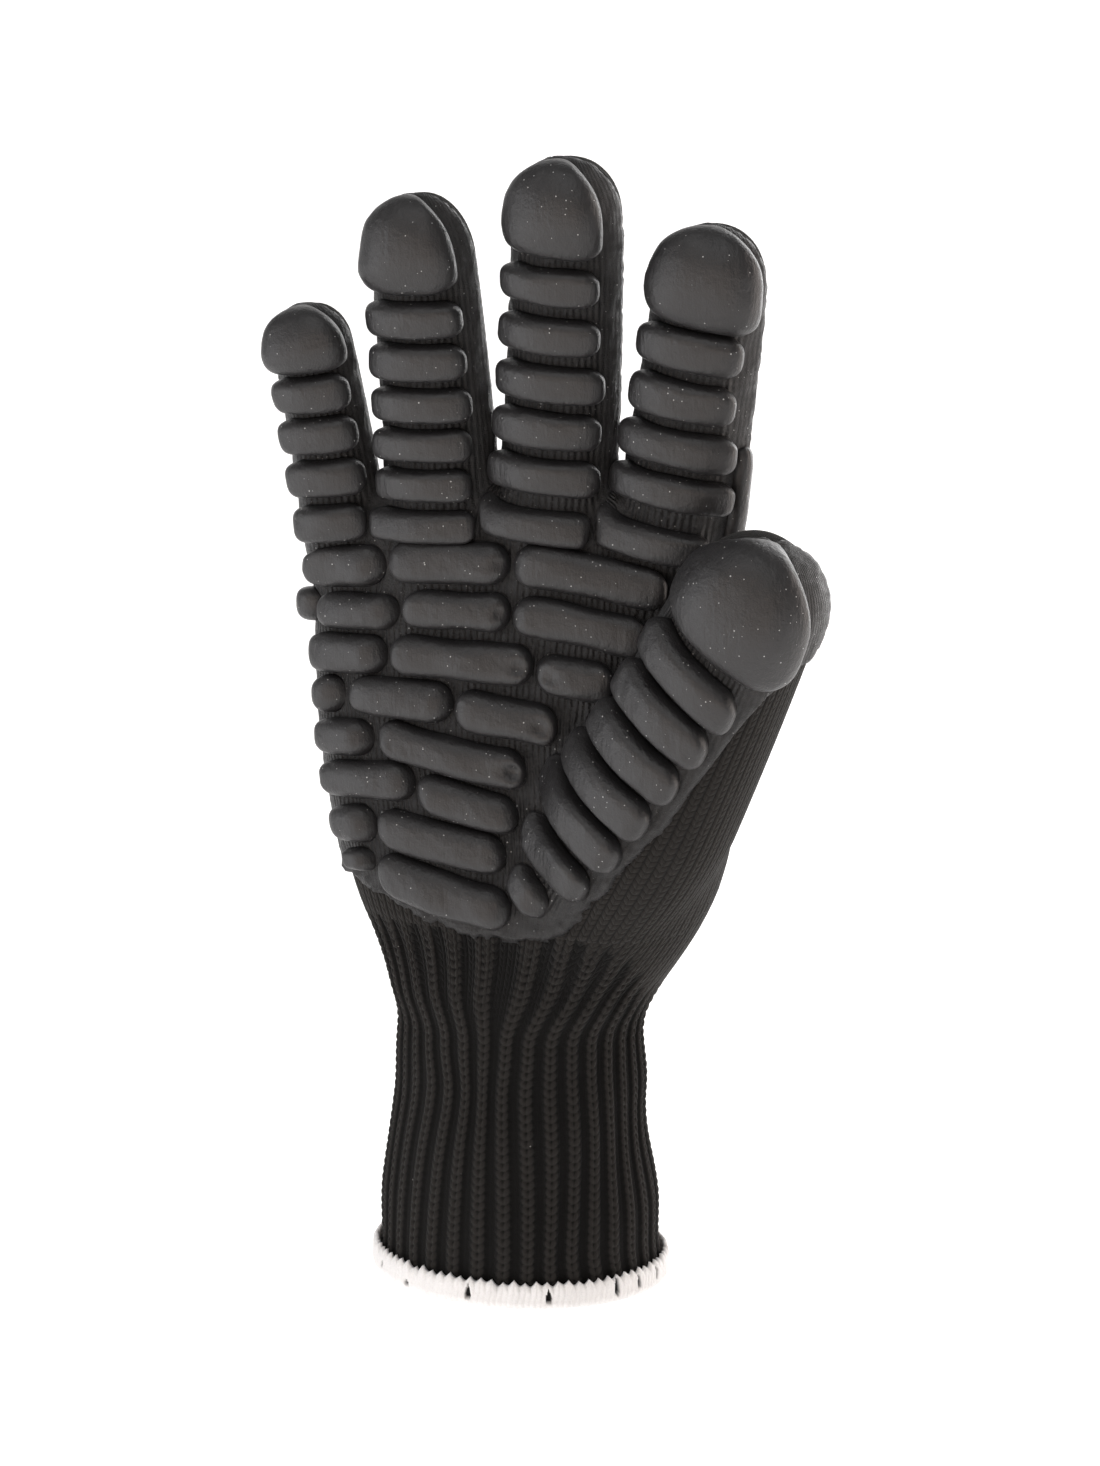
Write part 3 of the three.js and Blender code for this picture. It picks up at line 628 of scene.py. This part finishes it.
run = np.append(0, np.cumsum(np.linalg.norm(edges, axis=1)))
steps = np.linspace(0, run[-1], profile_steps + 1)[:-1]
height, up = (np.interp(steps, run, np.append(column, column[0])) for column in corners.T)
turn, height = np.meshgrid(turns, height, indexing="ij")
up = np.broadcast_to(up, turn.shape)
strand = turn * thread_count / (2 * np.pi)
slanted = strand + 0.18 * np.sin(up * 1.1)
within = 2 * (slanted - np.floor(slanted)) - 1
thread = np.sqrt(np.clip(1 - within**2, 0, 1))
pair = strand / 2
tooth = 1 - np.abs(2 * (pair - np.floor(pair)) - 1)
ragged = sines(np.stack([90 * np.sin(turn), 90 * np.cos(turn), 0 * turn], -1), 11, 8)
face = (height > hem_gap) | (height < -cuff_wall - hem_gap)
side = np.where(height > -cuff_wall / 2, 1, -1)
rise = soft_step((up - 3.6) / 2) * (tooth_height * tooth**1.3 + 0.22 * ragged - 0.45)
wrapped = face * (thread_height * thread + 0.07 * ragged) * side
parted = np.zeros_like(turn)
for place, foot, tall in drops:
    off = (turn - place + np.pi) % (2 * np.pi) - np.pi
    lean = (up - foot) / tall
    width = 0.02 * np.sqrt(np.clip(lean * (1 - lean), 0, 1)) * (1.5 - lean) * 2
    parted = np.maximum(parted, (np.abs(off) < width) * (lean > 0) * (lean < 1) * (height > 0.6))
half, deep = cuff_sizes(np.clip(up, 0, cuff_length))
height = height + wrapped - drop_depth * parted
points = np.stack([(half + height) * np.sin(turn), -(deep + height) * np.cos(turn), up + rise], -1)
points = points.reshape(-1, 3)
faces = outward(points, grid(len(turns), len(steps), closed_rows=True))
hem_overlock = put("hem_overlock", points, faces)
shown = hem_overlock.data.attributes.new("parted", "FLOAT", "POINT")
shown.data.foreach_set("value", parted.ravel().astype(np.float32))

hem_yarn, add, math, link = nodes_of("hem_yarn", Roughness=0.85, Sheen_Weight=0.2, Specular_IOR_Level=0.3)
where = add("TexCoord").outputs["Object"]
fuzz = noise(add, where, 3200, 3, 0.7)
link(bump(add, fuzz, 0.00025), "Normal")
white = colours(add, fuzz, (0.25, (0.86, 0.85, 0.85)), (0.6, (0.98, 0.97, 0.97)))
gap = add("Attribute", attribute_name="parted").outputs["Fac"]
link(painted(add, gap, white, (0.006, 0.006, 0.006, 1)), "Base Color")
hem_overlock.data.materials.append(hem_yarn)
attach(hem_overlock, "root")
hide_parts("hem")

# Rubber coat: the palm side of the knitting is dipped in black rubber foam, which creeps round the
# fingers' sides and over their tips, and ends in a ragged, slightly thicker edge above the wrist.
coat_top = 1.5
coat_sunk = 0.5
film_wall = 0.4
coat_cell = 1.0
coat_hem_across = [-1, -0.55, -0.1, 0.1, 0.4, 1]
coat_hem_up = [0.32, 0.25, 0.215, 0.215, 0.28, 0.54]


def finger_cover(limb, points):
    """How far inside the coat's edge a point on a finger lies: the edge is just in front of its side."""
    _, _, front = limb.place(points)
    return front - 0.1 * limb.width / 2


def thumb_cover(points):
    """On the thumb the outer edge starts near the root's middle and runs out to the side at the tip."""
    along, side, front = thumb.place(points)
    across = np.interp(along / thumb.length, [0.06, 0.4, 0.7, 0.85, 1], [0.1, 0.6, 0.86, 1.03, 1.2])
    edge = round_angle(across, thumb.square)
    outer = front * np.sin(edge) - side * np.cos(edge)
    return np.where(side < 0, np.minimum(outer, front - 2), outer)


def hand_cover(points):
    """On the palm the coat goes round to both edges, and dips towards the wrist in the middle."""
    side, half, fore, _, up = hand.shares(points)
    across = side / half
    near = [across + shift for shift in (-0.15, -0.05, 0.05, 0.15)]
    low = sum(np.interp(place, coat_hem_across, coat_hem_up) for place in near) / 4
    return np.minimum(fore + 1.5, up - low * palm_length)


def cover(points):
    """Millimetres inside the coat's edge: each limb's own measure, weighted by how near its skin is."""
    each = each_outside(points)
    weight = np.exp((each.min(0) - each) / fillet)
    fingers = [finger_cover(limb, points) for limb in limbs[1:5]]
    own = [hand_cover(points), *fingers, thumb_cover(points)]
    return (weight * np.clip(own, -8, 8)).sum(0) / weight.sum(0)


def coat_edge(points):
    """How far inside its edge the coat is, and how torn: straight on the fingers, ragged at the wrist."""
    torn = 0.12 + 0.88 * soft_step((cuff_length + 75 - points[:, 2]) / 25)
    return cover(points) + torn * (0.3 * sines(points, 9, 21) + 0.3 * sines(points, 3.4, 22)), torn


points, faces = skin(coat_cell)
points, faces = kept(points, faces, coat_edge(points)[0] > -1.3)
inside, torn = coat_edge(points)
lip = np.exp(-(((inside - 1.4) / 1.2) ** 2)) * (0.22 + torn * (0.2 + 0.25 * sines(points, 2.6, 23)))
wrinkle = 0.08 * sines(points, 7, 24) + 0.05 * sines(points, 2.7, 25)
rise = (coat_top + coat_sunk) * soft_step((inside + 0.6) / 1.3) - coat_sunk
rise += (lip + wrinkle) * soft_step(inside)
points = points + upright(points) * rise[:, None]
coat_skin = put("coat_skin", points, faces)
# The wales show through the coat in its middle, and not on the smooth strips beside the bars. The same mark
# also paints that middle a little darker, a painted shade between the pads.
inner = soft_step((inside - 4.2) / 3)
nearest = each_outside(points).argmin(0)
for number, limb in enumerate(limbs[1:], 1):
    mine = nearest == number
    _, side, front = limb.place(points[mine])
    inner[mine] *= 1 - soft_step((np.abs(np.arctan2(side, front)) - 0.72) / 0.25)
coat_skin.data.attributes.new("inner", "FLOAT", "POINT").data.foreach_set("value", inner.astype(np.float32))
chart(coat_skin, points, faces)
film = coat_skin.modifiers.new("film", "SOLIDIFY")
film.thickness = film_wall * mm
film.offset = -1

coat_rubber, add, math, link = nodes_of("coat_rubber", Specular_IOR_Level=0.45)
where = add("TexCoord").outputs["Object"]
stitch = add("SeparateXYZ", inputs=(add("UVMap", uv_map="stitches").outputs[0],))
wale = math("SINE", math("MULTIPLY", stitch.outputs[0], 2 * np.pi * 2))
inner = add("Attribute", attribute_name="inner").outputs["Fac"]
grain = noise(add, where, 620, 4, 0.62)
fine = noise(add, where, 3800, 2, 0.6)
rough = math("ADD", grain, math("MULTIPLY", wale, 0.2))
height = math("ADD", math("MULTIPLY", rough, ramp(add, inner, 0, 1, 0.3, 1.4)), math("MULTIPLY", fine, 0.4))
link(bump(add, height, 0.0007), "Normal")
link(ramp(add, grain, 0.35, 0.7, 0.6, 0.34), "Roughness")
# The coat's tone varies at random and is painted a little darker over its middle, where it shows between the
# pads: painted shade.
tone = colours(add, math("SUBTRACT", noise(add, where, 260, 3), math("MULTIPLY", inner, 0.08)),
               (0.2, (0.014, 0.0137, 0.0142)), (0.6, (0.027, 0.0265, 0.0275)))
dust = specks(add, math, where, 0.00017, 0.0011, 0.4)
link(painted(add, dust, tone, (0.4, 0.4, 0.4, 1)), "Base Color")
coat_skin.data.materials.append(coat_rubber)
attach(coat_skin, "root")
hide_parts("rubber_coat")

# Foam pads: soft bars and domes of charcoal foam rubber, moulded on the coat, across the fingers and
# the thumb and in rows over the palm. They have round ends, soft edges and a matt, dusty skin.
bar_tall = 9.5
pad_rise, tip_rise, thumb_rise = 4.7, 5.2, 5.3
pad_base = coat_top - 0.25
finger_over, thumb_over = (26, 75), (30, 82)
pad_stations, pad_profile, pad_floor = 64, 28, 6

foam, add, math, link = nodes_of("foam", Specular_IOR_Level=0.55)
where = add("TexCoord").outputs["Object"]
cloud = noise(add, where, 190, 4, 0.6)
grain = noise(add, where, 2400, 3, 0.6)
pits = noise(add, where, 800, 4, 0.65)
streak = noise(add, add("Mapping", inputs=(where, None, None, (1, 1, 0.18))).outputs[0], 1000, 2, 0.6)
pitted = math("ADD", math("MULTIPLY", pits, 0.45), math("MULTIPLY", streak, 0.35))
height = math("ADD", math("MULTIPLY", grain, 0.2), pitted)
link(bump(add, height, 0.00042), "Normal")
link(math("ADD", ramp(add, cloud, 0.3, 0.7, 0.3, 0.42), math("MULTIPLY", grain, 0.08)), "Roughness")
tone = colours(add, cloud, (0.3, (0.0172, 0.0165, 0.0174)), (0.72, (0.0235, 0.0226, 0.0238)))
dust = specks(add, math, where, 0.00017, 0.0011, 0.4)
link(painted(add, dust, tone, (0.45, 0.45, 0.45, 1)), "Base Color")


def foam_pad(name, limb, ends, levels, tall, rise, square=3.6, cap=0.45, swing=0.0, dent=None, over=None):
    """A bar laid across a limb: a superellipse section carried from one end to the other.

    ends: places round the limb; levels: how far up the limb each end lies; cap: the corners' radius as a
    share of the height; swing: how much of the way between the levels is a soft step; dent: its place
    along and across the bar, as shares, its radius and its depth; over: for a fingertip, the turns over
    the crown to which its upper edge climbs at its ends and in its middle."""
    share = (1 - np.cos(np.linspace(0, np.pi, pad_stations))) / 2
    angle = round_angle(np.array(ends), limb.square)
    angle = angle[0] + (angle[1] - angle[0]) * share
    step = share * (1 - swing) + soft_step(share) * swing
    place = levels[0] + (levels[1] - levels[0]) * step
    line = limb.point(place, angle, coat_top)
    run = np.append(0, np.cumsum(np.linalg.norm(np.diff(line, axis=0), axis=1)))
    round_end = cap * tall
    into = np.clip(1 - np.minimum(run, run[-1] - run) / round_end, 0, 0.9995)
    narrow = 1 - 2 * cap * (1 - np.sqrt(1 - into**2))
    lower = (1 - into**2.4) ** (1 / 2.4)
    turn = np.linspace(0, np.pi, pad_profile)
    along = np.append(-power(np.cos(turn), 2 / square), np.linspace(1, -1, pad_floor + 2)[1:-1])
    high = np.append(np.abs(np.sin(turn)) ** (2 / square), np.zeros(pad_floor))
    seed = sum(ord(letter) * (k + 3) for k, letter in enumerate(name)) % 9973
    length_wise = np.repeat(run[:, None], len(along), 1)
    flat = np.stack([length_wise, np.outer(narrow, along) * tall / 2, 0 * length_wise], -1)
    outline = 1 + 0.022 * sines(flat[:, :1], 14, seed)
    crown = 1 + 0.03 * sines(flat, 12, seed + 1) + 0.008 * sines(flat, 3, seed + 2)
    up = np.outer(lower, high) * rise * crown
    if dent:
        off = (flat[..., 0] - dent[0] * run[-1]) ** 2 + (flat[..., 1] - dent[1] * tall) ** 2
        up = up - dent[3] * np.exp(-off / dent[2] ** 2) * (high > 0)
    level = place[:, None] + flat[..., 1] * outline
    if over:
        arch = np.sqrt(1 - (2 * share - 1) ** 2)
        top = limb.straight + (limb.dome + coat_top) * np.radians(over[0] + (over[1] - over[0]) * arch)
        foot = place - tall / 2
        level = foot[:, None] + (flat[..., 1] / tall + 0.5) * (top - foot)[:, None]
    points = limb.point(level, angle[:, None], pad_base + up).reshape(-1, 3)
    foot = limb.point(level, angle[:, None], 0).reshape(-1, 3)
    points = points + settle(foot) - foot
    piece = put("foam" + name[3:], points, outward(points, zipped(pad_stations, len(along))))
    piece.data.materials.append(foam)
    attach(piece, "root")
    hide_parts(name)


# Finger bars: place up the finger as a share, height against bar_tall, and the two ends round it
finger_bars = {
    "little": [(0.734, 0.95, -0.8, 0.78), (0.587, 0.95, -0.8, 0.78), (0.434, 0.97, -0.78, 0.78),
               (0.273, 0.98, -0.78, 0.7)],
    "ring": [(0.721, 0.94, -0.84, 0.72), (0.611, 0.91, -0.84, 0.71), (0.5, 0.86, -0.84, 0.73),
             (0.396, 0.83, -0.83, 0.69), (0.292, 0.83, -0.83, 0.66), (0.185, 0.83, -0.88, 0.68)],
    "middle": [(0.741, 0.92, -0.84, 0.68), (0.623, 0.93, -0.86, 0.7), (0.508, 0.95, -0.87, 0.77),
               (0.397, 0.93, -0.88, 0.75), (0.285, 0.93, -0.9, 0.76), (0.163, 0.88, -0.93, 0.7)],
    "index": [(0.706, 1.0, -0.87, 0.74), (0.57, 1.02, -0.88, 0.72), (0.44, 0.92, -0.91, 0.8),
              (0.32, 0.85, -0.93, 0.84), (0.17, 0.9, -0.96, 0.68)],
}
# Fingertip domes: lower edge up the finger as a share, how many millimetres the left end stands above
# and the right end below it, and the two ends round the finger
finger_tips = {
    "little": (0.812, 0, -0.84, 0.84), "ring": (0.786, 0, -0.9, 0.72),
    "middle": (0.81, 0.7, -0.87, 0.72), "index": (0.77, 1.2, -0.9, 0.88),
}
for name, finger in {"little": little, "ring": ring, "middle": middle, "index": index}.items():
    low, lean, left, right_end = finger_tips[name]
    tall = finger.width
    level = low * finger.length + tall / 2
    foam_pad(f"pad_{name}_tip", finger, (left, right_end), (level + lean, level - lean), tall, tip_rise,
             3.4, 0.22, over=finger_over)
    for number, (at, tall, left, right_end) in enumerate(finger_bars[name], 1):
        levels = (at * finger.length, at * finger.length)
        foam_pad(f"pad_{name}_{number}", finger, (left, right_end), levels, tall * bar_tall, pad_rise)

# Thumb bars: place up the thumb as a share, height and how far the left end stands higher, both
# against bar_tall, and the two ends round the thumb
thumb_bars = [
    (0.725, 1.08, 0.72, -0.73, 0.68), (0.622, 1.1, 0.5, -0.77, 0.58), (0.518, 1.1, 0.4, -0.81, 0.48),
    (0.416, 1.08, 0.36, -0.91, 0.38), (0.316, 1.05, 0.4, -0.98, 0.28), (0.203, 1.02, 0.24, -0.93, 0.11),
    (0.1, 0.95, 0.15, -0.9, -0.33),
]
thumb_tip_low, thumb_tip_tall, thumb_tip_skew = 0.785, 0.64, 0.8
for number, (at, tall, skew, left, right_end) in enumerate(thumb_bars, 1):
    level, lean = at * thumb.length, skew * bar_tall / 2
    foam_pad(f"pad_thumb_{number}", thumb, (left, right_end), (level + lean, level - lean),
             tall * bar_tall, thumb_rise)
tall = thumb_tip_tall * thumb.width
level, lean = thumb_tip_low * thumb.length + tall / 2, thumb_tip_skew * bar_tall / 2
foam_pad("pad_thumb_tip", thumb, (-0.78, 0.97), (level + lean, level - lean), tall, thumb_rise,
         3.2, 0.36, over=thumb_over)

# Palm pads, row by row from the knuckles: the two ends round the hand, how far up the palm each end
# lies as a share, and the height against bar_tall
palm_pads = {
    "a": [(-0.96, -0.6, 0.922, 0.936, 1.08), (-0.56, -0.01, 0.948, 0.951, 1.08),
          (0.01, 0.69, 0.952, 0.91, 1.08)],
    "b": [(-1.01, -0.93, 0.838, 0.846, 0.84), (-0.9, -0.52, 0.84, 0.846, 0.94),
          (-0.48, 0.01, 0.857, 0.858, 0.96), (0.02, 0.62, 0.854, 0.817, 1.02)],
    "c": [(-0.95, -0.57, 0.752, 0.762, 1.04), (-0.53, 0.13, 0.768, 0.757, 1.02),
          (0.14, 0.5, 0.746, 0.726, 1)],
    "d": [(-0.93, -0.79, 0.669, 0.676, 1), (-0.73, -0.24, 0.682, 0.676, 1),
          (-0.22, 0.26, 0.67, 0.638, 1.04)],
    "e": [(-0.93, -0.64, 0.584, 0.596, 0.94), (-0.58, 0.11, 0.604, 0.552, 1)],
    "f": [(-0.92, -0.44, 0.502, 0.518, 0.96), (-0.41, 0.06, 0.504, 0.464, 1.02)],
    "g": [(-0.9, -0.67, 0.413, 0.426, 0.94), (-0.63, -0.01, 0.426, 0.387, 1.04)],
    "h": [(-0.85, -0.71, 0.348, 0.352, 0.6), (-0.66, 0.02, 0.338, 0.28, 1.14)],
}
# Dents near some pads' ends: place along and across the pad as shares, radius and depth
dents = {
    "a2": (0.93, 0.05, 1.3, 0.7), "b3": (0.92, 0.05, 1.3, 0.8), "c2": (0.91, 0, 1.5, 1.4),
    "d3": (0.85, 0, 2.1, 1.3), "e2": (0.92, 0, 1.7, 2.2), "c3": (0.2, 0, 2.0, 0.9),
}
for row, pads in palm_pads.items():
    for number, (left, right_end, first, last, tall) in enumerate(pads, 1):
        swing = 0.8 if row in "ab" and left > 0 else 0.0
        levels = (first * palm_length, last * palm_length)
        foam_pad(f"pad_palm_{row}{number}", hand, (left, right_end), levels,
                 tall * bar_tall, pad_rise, 2.9, 0.48, swing, dents.get(f"{row}{number}"))

# Side strip: a narrow, lower pad along the thumb's side of the first finger
strip_low, strip_high = 0.17 * index.length, 0.46 * index.length
level = (strip_low + strip_high) / 2
foam_pad("pad_index_side", index, (0.85, 0.99), (level, level), strip_high - strip_low, 0.6 * pad_rise,
         3.2, 0.12)

# Studio: a pale sweep a little below the glove, which is held up as a hand would hold it. A broad soft
# box stands on the left, a tall one on the right, two narrow warm strips beside the camera, a large
# box overhead and a rim light behind on the right.
floor_level = -0.14
floor_front, floor_back = -1.6, 0.4
sweep_half = 2.5
sweep_radius = 0.5
wall_height = 1.75
run = np.linspace(0, 1, 60)
bend = np.clip((run - 0.5) / 0.25, 0, 1) * np.pi / 2
floor_line = floor_front + 2 * run * (floor_back - floor_front)
depth_line = np.where(run < 0.5, floor_line, floor_back + sweep_radius * np.sin(bend))
rise_line = floor_level + sweep_radius * (1 - np.cos(bend)) + np.clip(run - 0.75, 0, 1) * 4 * wall_height
wide = np.array([-sweep_half, sweep_half])
points = np.stack(np.broadcast_arrays(wide[None], depth_line[:, None], rise_line[:, None]), -1)
points = points.reshape(-1, 3) / mm
i = np.arange(len(run) - 1) * 2
sweep = put("sweep", points, np.stack([i, i + 1, i + 3, i + 2], -1))
paper = nodes_of("paper", Roughness=0.9, Base_Color=(0.9, 0.9, 0.9, 1), Specular_IOR_Level=0.1,
                 Emission_Color=(1, 1, 1, 1), Emission_Strength=0.5)[0]
sweep.data.materials.append(paper)

world = bpy.data.worlds.new("studio")
world.use_nodes = True
world.node_tree.nodes["Background"].inputs["Color"].default_value = (1, 1, 1, 1)
world.node_tree.nodes["Background"].inputs["Strength"].default_value = 0.22
bpy.context.scene.world = world


def soft_box(name, bearing, height, reach, size, power_watts, colour):
    """A square light at a bearing from the camera's side of the glove, turned to the palm's middle."""
    light = bpy.data.lights.new(name, "AREA")
    light.shape = "RECTANGLE"
    light.size, light.size_y = size
    light.energy = power_watts
    light.color = colour
    turn = azimuth + np.radians(bearing)
    place = target + Vector((np.sin(turn) * reach, -np.cos(turn) * reach, height))
    box = bpy.data.objects.new(name, light)
    box.matrix_world = (place - target).to_track_quat("Z", "Y").to_matrix().to_4x4()
    box.matrix_world.translation = place
    bpy.context.scene.collection.objects.link(box)


soft_box("left_box", -72, -0.02, 0.85, (0.5, 0.7), 2.4, (0.98, 0.98, 1))
soft_box("warm_strip", -34, -0.05, 0.9, (0.14, 0.8), 1.2, (1, 0.82, 0.68))
soft_box("front_strip", 3, -0.05, 0.9, (0.1, 0.8), 1.2, (1, 0.8, 0.66))
soft_box("right_strip", 96, 0.1, 0.9, (0.2, 1.1), 3.6, (1, 0.85, 0.76))
soft_box("top_box", -15, 1.4, 1.1, (1.4, 1.0), 6.2, (1, 1, 1))
soft_box("rim_box", 140, 0.25, 0.7, (0.3, 0.8), 3.6, (1, 1, 1))

scene = bpy.context.scene
scene.view_settings.view_transform = "Standard"
scene.view_settings.look = "None"
